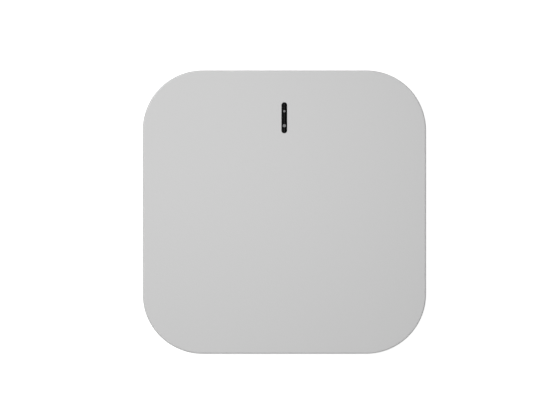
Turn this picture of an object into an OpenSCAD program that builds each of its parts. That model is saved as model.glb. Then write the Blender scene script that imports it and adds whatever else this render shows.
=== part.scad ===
// Smart home hub: a low square housing with a status window in its roof, and an Ethernet
// jack, a power socket and a reset button in its rear wall. Lengths are in millimetres.
// The origin is the middle of the surface that the feet stand on. +Z is up, and +Y points
// to the front edge, which is the one nearest the status window.

/* [Body] */
// Width of the body, from side to side
body_w = 90; // [88:1:110]
// Depth of the body, from front to rear
body_d = 90; // [88:1:110]
// Radius of the four upright corners
corner_r = 19; // [16:0.5:22]
// Rounding of the top edge
top_round = 0.5; // [0.3:0.1:1.4]
// Rounding of the bottom edge
bottom_round = 2.5; // [1.5:0.1:3]
// Free height above the Ethernet jack
headroom = 0.8; // [0.6:0.1:6]

/* [Covers] */
// Thickness of the side walls
wall = 2.2; // [2:0.1:2.8]
// Thickness of the top cover's roof
roof = 1.8; // [1.5:0.1:2.4]
// Thickness of the bottom cover's floor
base = 1.8; // [1.6:0.1:2.4]
// Open groove between the two covers
parting_gap = 0.4; // [0.2:0.1:0.8]
// How far the parting line lies below the board's top face
parting_drop = 0.4; // [0.3:0.1:1]
// Thickness of the tongue that lines the covers up
tongue_t = 1; // [0.8:0.1:1.1]
// Height of the tongue above the parting line
tongue_h = 2; // [1.2:0.1:2.5]
// Clearance round the tongue
tongue_gap = 0.1; // [0.05:0.05:0.2]

/* [Status light] */
// Width of the status slot
slot_w = 1.8; // [1.6:0.1:3]
// Length of the status slot
slot_l = 9.85; // [8.5:0.05:14]
// Distance from the front edge to the slot's centre
slot_inset = 15.1; // [13:0.1:18]
// Clearance round the window in its slot
window_gap = 0.05; // [0.02:0.01:0.1]
// How far the window's flange reaches past the slot
flange_reach = 1.4; // [1:0.1:2]
// Thickness of the window's flange
flange_t = 0.8; // [0.6:0.1:1.2]
// How far the window lies below the roof's face
window_sink = 0.1; // [0:0.05:0.4]
// How far the window's face crowns across its width
window_crown = 0.15; // [0.1:0.05:0.3]
// How far the light guide's tips lie below the window's face
tip_sink = 0.05; // [0:0.05:0.3]
// Clearance round the light guide's tips
tip_gap = 0.05; // [0.05:0.01:0.1]
// Distance from the slot's centre to the network light
network_led_off = 2.1; // [1.8:0.1:3]
// Distance from the slot's centre to the power light
power_led_off = 2.5; // [1.8:0.1:3]
// Radius of the light guide's legs
guide_r = 0.9; // [0.7:0.05:1]
// Radius of the network light's tip
network_tip_r = 0.35; // [0.25:0.05:0.6]
// Radius of the power light's tip
power_tip_r = 0.5; // [0.25:0.05:0.6]
// Clearance between the light guide and its shroud
guide_gap = 0.1; // [0.05:0.05:0.15]

/* [Feet and screws] */
// Radius of a rubber foot
foot_r = 5; // [4:0.1:5.5]
// Thickness of a rubber foot
foot_t = 1.6; // [1.2:0.1:2]
// Depth of the recess that holds a foot
foot_recess = 0.8; // [0.5:0.1:1]
// Distance from the body's sides to the screws and feet
screw_inset = 12; // [11:0.5:14]
// Radius of a housing screw's shank
screw_r = 1.1; // [1:0.05:1.4]
// Length of a housing screw's shank
screw_l = 12; // [8:0.5:13]
// Radius of a housing screw's head
head_r = 2.3; // [2:0.1:2.5]
// Height of a housing screw's head
head_h = 1.6; // [1.2:0.1:1.6]
// Clearance round a screw
screw_gap = 0.1; // [0.05:0.05:0.2]
// Radius of the top cover's screw bosses
boss_r = 3.2; // [2.8:0.1:3.6]

/* [Wall mounting] */
// Distance between the two keyholes
keyhole_pitch = 44; // [40:1:48]
// Radius of a keyhole's head hole
keyhole_r = 3.75; // [3.5:0.05:4.2]
// Width of a keyhole's slot
keyhole_slot_w = 3.8; // [3.5:0.1:4.5]
// Travel from the head hole to the slot's end
keyhole_travel = 8; // [6:0.5:10]
// Wall round the room behind a keyhole
pocket_wall = 1; // [0.8:0.1:1.4]

/* [Board] */
// Clearance between the board and the walls
board_gap = 1.3; // [0.8:0.1:1.6]
// Thickness of the board
board_t = 1.6; // [1:0.1:1.8]
// Height of the standoffs under the board
standoff_h = 3.2; // [3.2:0.1:5]
// Distance from the board's side edges to its screws
board_screw_inset = 5.5; // [5:0.1:6]
// Distance between the board's screws, from front to rear
board_screw_pitch = 32; // [30:1:36]
// Clearance between neighbouring parts on the board
part_gap = 1.6; // [1:0.1:1.8]

/* [Ports] */
// Width of the Ethernet jack
jack_w = 16; // [15.8:0.1:16.6]
// Depth of the Ethernet jack
jack_d = 21.3; // [20:0.1:21.6]
// Height of the Ethernet jack
jack_h = 13; // [12.8:0.1:14]
// Sheet thickness of the jack's shield
sheet = 0.25; // [0.2:0.05:0.3]
// How far the ports lie inside the rear wall's face
port_recess = 0.4; // [0.2:0.1:0.8]
// Clearance between a port and the wall
port_gap = 0.3; // [0.2:0.05:0.5]
// Place of the power socket along the rear wall
power_x = 18; // [17:0.5:20]
// Place of the reset button along the rear wall
reset_x = -18; // [-20:0.5:-17]

/* [Reset button] */
// Radius of the button's cap
button_r = 2.3; // [2:0.05:2.6]
// Clearance between the button and its hole
button_gap = 0.1; // [0.05:0.05:0.1]
// Travel of the button
button_travel = 0.3; // [0.2:0.05:0.4]
// How far the cap lies inside the rear wall's face
button_recess = 0.2; // [0:0.1:0.4]
// Radius of the flange that keeps the button in
button_flange_r = 3.2; // [3:0.1:3.4]
// Height of the button's axis above the board
button_rise = 3.6; // [3.5:0.1:4.4]

/* [Hidden] */
$fn = 96;

// Cutting solids reach this far past the faces that they cut.
over = 1;

// Heights, from the surface that the feet stand on.
underside_z = foot_t - foot_recess;
floor_z = underside_z + base;
board_z = floor_z + standoff_h;
board_top = board_z + board_t;
parting_z = board_top - parting_drop;
top_cover_z = parting_z + parting_gap;
jack_top = board_top + jack_h;
roof_z = jack_top + headroom;
top_z = roof_z + roof;

// Places of the walls, screws and ports.
rear_y = -body_d / 2;
rear_inner_y = rear_y + wall;
screw_x = body_w / 2 - screw_inset;
screw_y = body_d / 2 - screw_inset;
board_w = body_w - 2 * (wall + board_gap);
board_d = body_d - 2 * (wall + board_gap);
board_screw_x = board_w / 2 - board_screw_inset;
slot_y = body_d / 2 - slot_inset;
port_y = rear_y + port_recess;
jack_rear_y = port_y + jack_d;

// Housing screws. Posts stop just under the board, and the bosses stand on them.
under_board_gap = 0.2;
post_top = board_z - under_board_gap;
post_wall = 1.2;
post_r = head_r + screw_gap + post_wall;
head_room = 0.2;
head_seat_z = underside_z + foot_recess + head_room + head_h;
boss_clearance = 0.6;
pilot_spare = 1;
drive_w = 0.6;
drive_l = 2.8;
drive_depth = 0.9;
foot_gap = 0.1;
foot_chamfer = 0.4;

// Rooms behind the keyholes.
pocket_cap = 0.8;
pocket_top = post_top;
pocket_ceiling = pocket_top - pocket_cap;
keyhole_y = 6;
head_clearance = 0.35;
pocket_r = keyhole_r + head_clearance;

// Underside label and vents.
label_w = 44;
label_d = 22;
label_y = -16;
label_t = 0.15;
label_recess = 0.2;
label_corner = 1.5;
label_gap = 0.2;
vent_count = 7;
vent_pitch = 4;
vent_w = 2;
vent_l = 18;
vent_y = 12;

// Board screws.
standoff_r = 2.8;
board_screw_r = 0.9;
board_screw_l = 4.4;
board_head_r = 1.9;
board_head_h = 1.3;
board_hole_gap = 0.3;

// Status window, shroud and light guide.
window_frame_t = 0.8;
window_frame_h = 1.4;
flange_w = slot_w + 2 * flange_reach;
flange_l = slot_l + 2 * flange_reach;
flange_z = roof_z - flange_t;
shroud_side_gap = 0.15;
shroud_w = flange_w + 2 * (window_gap - shroud_side_gap);
shroud_end = 0.8;
shroud_l = slot_l + 2 * shroud_end;
shroud_gap = 0.1;
shroud_top = flange_z - shroud_gap;
window_top = top_z - window_sink;
window_w = slot_w - 2 * window_gap;
window_l = slot_l - 2 * window_gap;
crown_r = (pow(window_w / 2, 2) + pow(window_crown, 2)) / (2 * window_crown);
guide_top = window_top - tip_sink;
guide_bar_w = 1;
guide_bar_t = 1;
guide_bar_drop = 0.3;
guide_bar_z = shroud_top - guide_bar_drop - guide_bar_t;
guide_bar_end = 0.7;
guide_bar_l = slot_l - 2 * guide_bar_end;
led_w = 0.8;
led_l = 1.6;
led_base_h = 0.3;
led_lens_l = 1;
led_lens_h = 0.4;
led_room = 0.4;
led_h = led_base_h + led_lens_h;
led_to_guide = 0.3;
guide_leg_z = board_top + led_h + led_to_guide;

// Ethernet jack. The plug's latch runs in the two narrow steps under the main opening.
plug_w = 11.9;
plug_h = 6.8;
plug_depth = 13.5;
plug_rise = 3.8;
plug_z = board_top + plug_rise;
latch_wide = 6.3;
latch_wide_h = 1.6;
latch_narrow = 3.4;
latch_narrow_h = 1;
plug_ceiling = plug_z + plug_h;
contact_count = 8;
contact_pitch = 1.02;
contact_w = 0.35;
contact_t = 0.3;
contact_start = 3;
contact_drop = 1.9;
contact_reach = 7;
lamp_w = 3;
lamp_h = 1.5;
lamp_l = 8;
lamp_side_wall = 0.6;
lamp_top_wall = 0.3;
lamp_x = jack_w / 2 - sheet - lamp_side_wall - lamp_w / 2;
lamp_z = jack_top - sheet - lamp_top_wall - lamp_h;

// Power socket: a flat metal shell with round ends.
socket_w = 8.94;
socket_h = 3.16;
socket_sheet = 0.3;
socket_d = 7.5;
socket_z = board_top + socket_h / 2;
socket_cut_w = socket_w + 2 * port_gap;
socket_cut_h = socket_h + 2 * port_gap;
saddle_side = 1.2;
saddle_gap = 0.15;
saddle_w = socket_cut_w + 2 * saddle_side;
socket_block_d = 2.2;
tongue_blade_w = 6.69;
tongue_blade_t = 0.7;
tongue_blade_back = 1;
tongue_blade_root = 0.5;
pad_back = 0.6;
pad_count = 12;
pad_pitch = 0.5;
pad_w = 0.25;
pad_l = 2.6;
pad_t = 0.05;
wing_w = 0.8;
wing_l = 1.4;
wing_t = 0.25;

// Reset button and its switch, from the wall inwards.
button_z = board_top + button_rise;
button_flange_t = 0.8;
button_rest_gap = 0.05;
button_dome = 0.25;
stem_r = 1.4;
stem_l = 1.8;
plunger_r = 1.5;
plunger_out = 1.2;
plunger_collar_r = 2;
plunger_collar_t = 0.9;
switch_plate_t = 0.3;
switch_w = 6;
switch_d = 3.6;
switch_above_axis = 2.6;
switch_h = button_rise + switch_above_axis;
switch_ear_h = 4.6;
button_flange_y = rear_inner_y + button_rest_gap;
plunger_y = button_flange_y + button_flange_t + stem_l;
switch_plate_y = plunger_y + plunger_out;
switch_y = switch_plate_y + switch_plate_t;
collar_y = switch_y + button_rest_gap;
dome_room = 0.4;
switch_bore_d = plunger_collar_t + button_travel + dome_room;

// Parts on the board.
transformer_w = 12.7;
transformer_d = 7;
transformer_h = 5.8;
lead_count = 8;
lead_pitch = 1.27;
lead_w = 0.4;
lead_t = 0.2;
lead_reach = 1;
lead_top = 2.4;
transformer_y = jack_rear_y + part_gap + lead_reach + transformer_d / 2;
sink_w = 25;
sink_base = 2;
sink_fin_h = 5;
sink_fin_t = 1;
sink_fins = 9;
processor_w = 14;
processor_h = 1.4;
processor_base_h = 0.5;
processor_cap_w = 12.4;
processor_y = transformer_y + transformer_d / 2 + lead_reach + part_gap + sink_w / 2;
pad_side = 13;
pad_thick = 1;
memory_w = 9;
memory_d = 13;
memory_h = 1.1;
memory_x = -(sink_w / 2 + part_gap + memory_w / 2);
memory_y = processor_y - (sink_w - memory_d) / 2;
flash_w = 11.5;
flash_d = 13;
flash_h = 1;
flash_x = sink_w / 2 + part_gap + flash_w / 2;
network_chip_w = 5;
network_chip_h = 0.9;
network_chip_x = -(transformer_w / 2 + part_gap + network_chip_w / 2);
module_w = 16;
module_l = 24;
module_t = 0.8;
module_side_gap = 0.4;
module_front_gap = 2;
module_x = module_w / 2 + module_side_gap + boss_r + boss_clearance - screw_x;
module_y = board_d / 2 - module_front_gap - module_l / 2;
can_w = 13.6;
can_l = 15;
can_h = 2.2;
can_corner = 0.8;
can_lid_inset = 0.4;
can_lid_h = 0.15;
antenna_t = 0.1;
antenna_line = 0.8;
antenna_turns = 4;
antenna_pitch = 2.6;
antenna_w = 5;
module_margin = 1;
fuse_w = 3.2;
fuse_d = 1.6;
fuse_h = 0.9;
fuse_y = port_y + socket_d + part_gap + fuse_d / 2;
diode_w = 2.6;
diode_d = 1.6;
diode_h = 1;
diode_y = fuse_y + fuse_d / 2 + part_gap + diode_d / 2;
inductor_w = 6;
inductor_h = 3;
inductor_corner = 1.1;
inductor_shift = 3;
inductor_x = power_x + inductor_shift;
inductor_y = diode_y + diode_d / 2 + part_gap + inductor_w / 2;
regulator_w = 3;
regulator_d = 2.8;
regulator_h = 1.1;
regulator_leads = 3;
regulator_pitch = 0.95;
regulator_reach = 0.6;
regulator_lead_top = 0.5;
regulator_x = inductor_x - inductor_w / 2 - part_gap - regulator_w / 2;
capacitor_r = 3.15;
capacitor_h = 7.7;
capacitor_base_w = 6.6;
capacitor_base_h = 0.8;
capacitor_clip = 1.4;
capacitor_edge_gap = 3.5;
capacitor_x = board_w / 2 - capacitor_edge_gap - capacitor_base_w / 2;
capacitor_pitch = 9;
capacitor_shift = 1.4;
capacitor_places = [capacitor_shift - capacitor_pitch / 2, capacitor_shift + capacitor_pitch / 2];
crystal_w = 3.2;
crystal_d = 2.5;
crystal_h = 0.8;
crystal_base_h = 0.4;
crystal_lid_inset = 0.2;
chip_l = 1.6;
chip_w = 0.8;
chip_cap_h = 0.8;
chip_res_h = 0.45;
chip_row = 5;
chip_pitch = 2.4;
chip_ring = processor_w / 2 + 2;
end_cap_l = 0.3;
end_cap_grow = 0.03;
resistor_row = 6;
resistor_x = shroud_w / 2 + part_gap + chip_w / 2;
resistor_y = processor_y + sink_w / 2 + part_gap + chip_l / 2;

// A square outline with round corners, centred on the origin.
module rounded_outline(w, d, r) {
  square([w, d - 2 * r], center = true);
  square([w - 2 * r, d], center = true);
  for (sx = [-1, 1], sy = [-1, 1])
    translate([sx * (w / 2 - r), sy * (d / 2 - r)])
      circle(r = r);
}

// The body's outline, moved inwards.
module body_outline(inset) {
  rounded_outline(body_w - 2 * inset, body_d - 2 * inset, corner_r - inset);
}

// A flat shape with two round ends, centred on the origin and lying along X.
module pill(length, width) {
  square([length - width, width], center = true);
  for (side = [-1, 1])
    translate([side * (length - width) / 2, 0])
      circle(r = width / 2);
}

// Half of an upright section through a slab, with its top outer edge rounded.
module slab_section(reach, h, edge_r) {
  square([reach, h - edge_r]);
  square([reach - edge_r, h]);
  translate([reach - edge_r, h - edge_r])
    circle(r = edge_r);
}

// A solid slab on the body's outline, with its top edge rounded all the way round.
module round_edged_slab(h, edge_r) {
  span_x = body_w - 2 * corner_r;
  span_y = body_d - 2 * corner_r;
  translate([-span_x / 2, -span_y / 2, 0])
    cube([span_x, span_y, h]);
  for (turn = [0:3]) {
    side_x = (turn == 0 || turn == 3) ? 1 : -1;
    side_y = (turn < 2) ? 1 : -1;
    out = (turn % 2 == 0) ? span_x : span_y;
    along = (turn % 2 == 0) ? span_y : span_x;
    translate([side_x * span_x / 2, side_y * span_y / 2, 0])
      rotate([0, 0, 90 * turn])
        rotate_extrude(angle = 90)
          slab_section(corner_r, h, edge_r);
    rotate([0, 0, 90 * turn])
      translate([out / 2, 0, 0])
        rotate([90, 0, 0])
          linear_extrude(height = along, center = true)
            slab_section(corner_r, h, edge_r);
  }
}

// Repeats its children at the four housing screws.
module at_housing_screws() {
  for (sx = [-1, 1], sy = [-1, 1])
    translate([sx * screw_x, sy * screw_y, 0])
      children();
}

// Repeats its children at the four board screws.
module at_board_screws() {
  for (sx = [-1, 1], sy = [-1, 1])
    translate([sx * board_screw_x, sy * board_screw_pitch / 2, 0])
      children();
}

// Points its children's +Z along +Y, at a place on the reset button's axis.
module on_button_axis(y) {
  translate([reset_x, y, button_z])
    rotate([-90, 0, 0])
      children();
}

// A block centred on x and y that stands on z.
module block(x, y, z, w, d, h) {
  translate([x - w / 2, y - d / 2, z])
    cube([w, d, h]);
}

// The openings that the rear ports need in a wall.
module port_cuts() {
  cut_y = rear_y - over;
  cut_d = wall + 2 * over;
  jack_cut = jack_w + 2 * port_gap;
  saddle_cut = saddle_w + 2 * saddle_gap;
  translate([-jack_cut / 2, cut_y, parting_z - over])
    cube([jack_cut, cut_d, jack_top + port_gap - parting_z + over]);
  translate([power_x - saddle_cut / 2, cut_y, parting_z - over])
    cube([saddle_cut, cut_d, socket_z + saddle_gap - parting_z + over]);
  socket_cut();
  on_button_axis(cut_y)
    cylinder(r = button_r + button_gap, h = cut_d);
}

// The round-ended hole that the power socket shows through.
module socket_cut() {
  translate([power_x, rear_y - over, socket_z])
    rotate([-90, 0, 0])
      linear_extrude(height = wall + 2 * over)
        pill(socket_cut_w, socket_cut_h);
}

module top_cover() {
  rabbet_inset = wall - tongue_t - tongue_gap;
  rabbet_top = parting_z + tongue_h + tongue_gap;
  pilot_top = head_seat_z + screw_l + pilot_spare;
  color("lightgray")
    difference() {
      union() {
        difference() {
          translate([0, 0, top_cover_z])
            round_edged_slab(top_z - top_cover_z, top_round);
          translate([0, 0, top_cover_z - over])
            linear_extrude(height = roof_z - top_cover_z + over)
              body_outline(wall);
          translate([0, 0, top_cover_z - over])
            linear_extrude(height = rabbet_top - top_cover_z + over)
              body_outline(rabbet_inset);
        }
        at_housing_screws()
          translate([0, 0, post_top])
            cylinder(r = boss_r, h = roof_z + roof / 2 - post_top);
        translate([0, slot_y, roof_z - window_frame_h])
          window_frame();
      }
      translate([0, slot_y, roof_z - over])
        linear_extrude(height = roof + 2 * over)
          rotate([0, 0, 90])
            pill(slot_l, slot_w);
      at_housing_screws()
        translate([0, 0, post_top - over])
          cylinder(r = screw_r + screw_gap, h = pilot_top - post_top + over);
      port_cuts();
    }
}

// The rib under the roof that the window's flange drops into.
module window_frame() {
  inner_w = flange_w + 2 * window_gap;
  inner_l = flange_l + 2 * window_gap;
  linear_extrude(height = window_frame_h + roof / 2)
    difference() {
      square([inner_w + 2 * window_frame_t, inner_l + 2 * window_frame_t], center = true);
      square([inner_w, inner_l], center = true);
    }
}

module bottom_cover() {
  color("lightgray")
    difference() {
      union() {
        difference() {
          translate([0, 0, parting_z])
            mirror([0, 0, 1])
              round_edged_slab(parting_z - underside_z, bottom_round);
          translate([0, 0, floor_z])
            linear_extrude(height = parting_z - floor_z + over)
              body_outline(wall);
        }
        difference() {
          translate([0, 0, parting_z - over])
            tongue_ring();
          tongue_cuts();
        }
        socket_saddle();
        at_housing_screws()
          translate([0, 0, floor_z - base / 2])
            cylinder(r = post_r, h = post_top - floor_z + base / 2);
        at_board_screws()
          translate([0, 0, floor_z - base / 2])
            cylinder(r = standoff_r, h = board_z - floor_z + base / 2);
        keyhole_rooms(pocket_wall, floor_z - base / 2, pocket_top);
      }
      keyhole_rooms(0, floor_z, pocket_ceiling);
      keyhole_cuts();
      foot_and_screw_cuts();
      at_board_screws()
        translate([0, 0, board_top - board_screw_l])
          cylinder(r = board_screw_r + screw_gap, h = board_screw_l);
      vents();
      translate([0, label_y, underside_z - over])
        linear_extrude(height = label_recess + over)
          rounded_outline(label_w + 2 * label_gap, label_d + 2 * label_gap, label_corner);
    }
}

// The upright tongue that stands inside the top cover's wall.
module tongue_ring() {
  linear_extrude(height = tongue_h + over)
    difference() {
      body_outline(wall - tongue_t);
      body_outline(wall);
    }
}

// Gaps in the tongue where the ports and the button pass.
module tongue_cuts() {
  for (place = [[0, jack_w / 2 + port_gap], [power_x, saddle_w / 2],
                [reset_x, button_flange_r + port_gap]])
    translate([place[0] - place[1], rear_y - over, parting_z])
      cube([2 * place[1], wall + 2 * over, tongue_h + over]);
}

// The tab in the wall that cradles the lower half of the power socket.
module socket_saddle() {
  difference() {
    translate([0, 0, parting_z - over])
      linear_extrude(height = socket_z - parting_z + over)
        intersection() {
          difference() {
            body_outline(0);
            body_outline(wall);
          }
          translate([power_x - saddle_w / 2, rear_y - over])
            square([saddle_w, wall + 2 * over]);
        }
    socket_cut();
  }
}

// The room behind each keyhole, or with a wall added the solid round it.
module keyhole_rooms(added, low, high) {
  room_r = pocket_r + added;
  for (side = [-1, 1])
    translate([side * keyhole_pitch / 2, keyhole_y + keyhole_travel / 2, low])
      linear_extrude(height = high - low)
        rotate([0, 0, 90])
          pill(keyhole_travel + 2 * room_r, 2 * room_r);
}

// The head hole and the slot of each keyhole.
module keyhole_cuts() {
  for (side = [-1, 1])
    translate([side * keyhole_pitch / 2, keyhole_y, underside_z - over]) {
      cylinder(r = keyhole_r, h = base + 2 * over);
      translate([0, keyhole_travel / 2, 0])
        linear_extrude(height = base + 2 * over)
          rotate([0, 0, 90])
            pill(keyhole_travel + keyhole_slot_w, keyhole_slot_w);
    }
}

// The recess for each foot, and the stepped hole for the screw above it.
module foot_and_screw_cuts() {
  at_housing_screws() {
    translate([0, 0, underside_z - over])
      cylinder(r = foot_r + foot_gap, h = foot_recess + over);
    translate([0, 0, underside_z])
      cylinder(r = head_r + screw_gap, h = head_seat_z - underside_z);
    translate([0, 0, underside_z])
      cylinder(r = screw_r + screw_gap, h = post_top - underside_z + over);
  }
}

module vents() {
  for (i = [0:vent_count - 1])
    translate([(i - (vent_count - 1) / 2) * vent_pitch, vent_y, underside_z - over])
      linear_extrude(height = base + 2 * over)
        rotate([0, 0, 90])
          pill(vent_l, vent_w);
}

module status_window() {
  color([0.05, 0.05, 0.06])
    difference() {
      union() {
        translate([0, slot_y, flange_z])
          linear_extrude(height = flange_t)
            square([flange_w, flange_l], center = true);
        intersection() {
          translate([0, slot_y, flange_z])
            linear_extrude(height = window_top - flange_z + over)
              rotate([0, 0, 90])
                pill(window_l, window_w);
          translate([0, slot_y, window_top - crown_r])
            rotate([90, 0, 0])
              cylinder(r = crown_r, h = slot_l, center = true);
        }
      }
      tip_bore(slot_y + network_led_off, network_tip_r);
      tip_bore(slot_y - power_led_off, power_tip_r);
    }
}

// The hole that one tip of the light guide passes through the window by.
module tip_bore(y, tip_r) {
  translate([0, y, flange_z - over])
    cylinder(r = tip_r + tip_gap, h = window_top - flange_z + 2 * over);
}

module light_guide() {
  color([0.9, 0.92, 0.95, 0.6])
    union() {
      block(0, slot_y, guide_bar_z, guide_bar_w, guide_bar_l, guide_bar_t);
      guide_leg(slot_y + network_led_off, network_tip_r);
      guide_leg(slot_y - power_led_off, power_tip_r);
    }
}

// One leg of the light guide, with the tip that shows in the window's face.
module guide_leg(y, tip_r) {
  translate([0, y, guide_leg_z])
    cylinder(r = guide_r, h = guide_bar_z + guide_bar_t / 2 - guide_leg_z);
  translate([0, y, guide_bar_z])
    cylinder(r = tip_r, h = guide_top - guide_bar_z);
}

module light_shroud() {
  led_places = [slot_y + network_led_off, slot_y - power_led_off];
  bar_room_z = guide_bar_z - guide_gap;
  color([0.08, 0.08, 0.08])
    difference() {
      block(0, slot_y, board_top, shroud_w, shroud_l, shroud_top - board_top);
      block(0, slot_y, bar_room_z, guide_bar_w + 2 * guide_gap,
            guide_bar_l + 2 * guide_gap, shroud_top - bar_room_z + over);
      for (y = led_places) {
        translate([0, y, board_top - over])
          cylinder(r = guide_r + guide_gap, h = shroud_top - board_top + 2 * over);
        block(0, y, board_top - over, led_w + 2 * led_room, led_l + 2 * led_room,
              led_h + led_room + over);
      }
    }
}

module status_led(y) {
  color("ivory")
    union() {
      block(0, y, board_top, led_w, led_l, led_base_h);
      block(0, y, board_top, led_w, led_lens_l, led_h);
    }
}

module housing_screws() {
  color("silver")
    at_housing_screws()
      difference() {
        union() {
          translate([0, 0, head_seat_z - head_h])
            cylinder(r = head_r, h = head_h);
          translate([0, 0, head_seat_z - head_h / 2])
            cylinder(r = screw_r, h = screw_l + head_h / 2);
        }
        cross_drive(head_seat_z - head_h - over, drive_depth + over);
      }
}

// The cross recess in a screw's head.
module cross_drive(z, h) {
  block(0, 0, z, drive_w, drive_l, h);
  block(0, 0, z, drive_l, drive_w, h);
}

// One rubber foot, on the side that the signs name.
module foot(side_x, side_y) {
  color([0.12, 0.12, 0.12])
    translate([side_x * screw_x, side_y * screw_y, 0])
      rotate_extrude()
        polygon([
          [0, 0],
          [foot_r - foot_chamfer, 0],
          [foot_r, foot_chamfer],
          [foot_r, foot_t],
          [0, foot_t]
        ]);
}

module underside_label() {
  label_z = underside_z + label_recess - label_t;
  color("whitesmoke")
    translate([0, label_y, label_z])
      linear_extrude(height = label_t)
        rounded_outline(label_w, label_d, label_corner);
}

module main_board() {
  notch_r = boss_r + boss_clearance;
  color("darkgreen")
    difference() {
      translate([0, 0, board_z])
        linear_extrude(height = board_t)
          rounded_outline(board_w, board_d, corner_r - wall - board_gap);
      at_housing_screws()
        translate([0, 0, board_z - over])
          cylinder(r = notch_r, h = board_t + 2 * over);
      at_board_screws()
        translate([0, 0, board_z - over])
          cylinder(r = board_screw_r + board_hole_gap, h = board_t + 2 * over);
    }
}

module board_screws() {
  color("silver")
    at_board_screws()
      difference() {
        union() {
          translate([0, 0, board_top])
            cylinder(r = board_head_r, h = board_head_h);
          translate([0, 0, board_top - board_screw_l])
            cylinder(r = board_screw_r, h = board_screw_l + board_head_h / 2);
        }
        cross_drive(board_top + board_head_h / 2, board_head_h);
      }
}

// The opening for a plug, with the steps for its latch.
module plug_opening(depth) {
  start_y = port_y - over;
  reach = depth + over;
  wide_z = plug_z - latch_wide_h;
  translate([-plug_w / 2, start_y, plug_z])
    cube([plug_w, reach, plug_h]);
  translate([-latch_wide / 2, start_y, wide_z])
    cube([latch_wide, reach, latch_wide_h + over]);
  translate([-latch_narrow / 2, start_y, wide_z - latch_narrow_h])
    cube([latch_narrow, reach, latch_narrow_h + over]);
}

// The room of the two lamps in the jack's upper corners.
module lamp_rooms(start_y, length) {
  for (side = [-1, 1])
    translate([side * lamp_x - lamp_w / 2, start_y, lamp_z])
      cube([lamp_w, length, lamp_h]);
}

// Places of the jack's contacts across its width.
function contact_x(i) = (i - (contact_count - 1) / 2) * contact_pitch;

module ethernet_jack_housing() {
  color([0.1, 0.1, 0.1])
    difference() {
      translate([-jack_w / 2 + sheet, port_y + sheet, board_top])
        cube([jack_w - 2 * sheet, jack_d - 2 * sheet, jack_h - sheet]);
      plug_opening(plug_depth);
      lamp_rooms(port_y, lamp_l);
      for (i = [0:contact_count - 1])
        translate([contact_x(i) - contact_w / 2, port_y + contact_start, plug_ceiling - over])
          cube([contact_w, plug_depth - contact_start, contact_t + over]);
    }
}

module ethernet_jack_shield() {
  color("silver")
    difference() {
      translate([-jack_w / 2, port_y, board_top])
        cube([jack_w, jack_d, jack_h]);
      translate([-jack_w / 2 + sheet, port_y + sheet, board_top - over])
        cube([jack_w - 2 * sheet, jack_d - 2 * sheet, jack_h - sheet + over]);
      plug_opening(2 * sheet);
      lamp_rooms(port_y - over, 2 * over);
    }
}

module ethernet_jack_contacts() {
  slope = atan2(contact_drop, contact_reach);
  color("gold")
    for (i = [0:contact_count - 1])
      translate([contact_x(i) - contact_w / 2, port_y + contact_start, plug_ceiling])
        union() {
          cube([contact_w, plug_depth - contact_start, contact_t]);
          rotate([-slope, 0, 0])
            cube([contact_w, contact_reach, contact_t]);
        }
}

module ethernet_jack_lamps() {
  color([0.8, 0.9, 0.5])
    lamp_rooms(port_y, lamp_l);
}

module power_socket_shell() {
  color("silver")
    union() {
      translate([power_x, port_y, socket_z])
        rotate([-90, 0, 0])
          linear_extrude(height = socket_d)
            difference() {
              pill(socket_w, socket_h);
              pill(socket_w - 2 * socket_sheet, socket_h - 2 * socket_sheet);
            }
      for (side = [-1, 1])
        socket_wing(side);
    }
}

// The foot that fixes each side of the power socket to the board.
module socket_wing(side) {
  round_r = socket_h / 2;
  wing_x = (socket_w - round_r + wing_w) / 2;
  wing_y = port_y + socket_d - wing_l / 2;
  block(power_x + side * wing_x, wing_y, board_top, wing_w + round_r, wing_l, wing_t);
}

module power_socket_tongue() {
  inner_w = socket_w - 2 * socket_sheet;
  inner_h = socket_h - 2 * socket_sheet;
  color([0.1, 0.1, 0.1])
    union() {
      translate([power_x, port_y + socket_d - socket_block_d, socket_z])
        rotate([-90, 0, 0])
          linear_extrude(height = socket_block_d)
            pill(inner_w, inner_h);
      translate([power_x - tongue_blade_w / 2, port_y + tongue_blade_back,
                 socket_z - tongue_blade_t / 2])
        cube([tongue_blade_w, socket_d - tongue_blade_back - tongue_blade_root, tongue_blade_t]);
    }
}

module power_socket_contacts() {
  pad_y = port_y + tongue_blade_back + pad_back;
  color("gold")
    for (i = [0:pad_count - 1], side = [-1, 1])
      block(power_x + (i - (pad_count - 1) / 2) * pad_pitch, pad_y + pad_l / 2,
            socket_z + side * (tongue_blade_t + pad_t) / 2 - pad_t / 2,
            pad_w, pad_l, pad_t);
}

module reset_button() {
  cap_y = rear_y + button_recess;
  color([0.3, 0.3, 0.32])
    union() {
      on_button_axis(cap_y + button_dome)
        cylinder(r = button_r, h = button_flange_y - cap_y - button_dome + button_flange_t / 2);
      on_button_axis(cap_y)
        cylinder(r1 = button_r - button_dome, r2 = button_r, h = button_dome);
      on_button_axis(button_flange_y)
        cylinder(r = button_flange_r, h = button_flange_t);
      on_button_axis(button_flange_y + button_flange_t / 2)
        cylinder(r = stem_r, h = stem_l + button_flange_t / 2);
    }
}

module reset_switch_plunger() {
  color([0.15, 0.15, 0.15])
    union() {
      on_button_axis(plunger_y)
        cylinder(r = plunger_r, h = collar_y - plunger_y + plunger_collar_t / 2);
      on_button_axis(collar_y)
        cylinder(r = plunger_collar_r, h = plunger_collar_t);
    }
}

module reset_switch_body() {
  color([0.15, 0.15, 0.15])
    difference() {
      block(reset_x, switch_y + switch_d / 2, board_top, switch_w, switch_d, switch_h);
      on_button_axis(switch_y - over)
        cylinder(r = plunger_collar_r + button_gap, h = switch_bore_d + over);
    }
}

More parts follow.
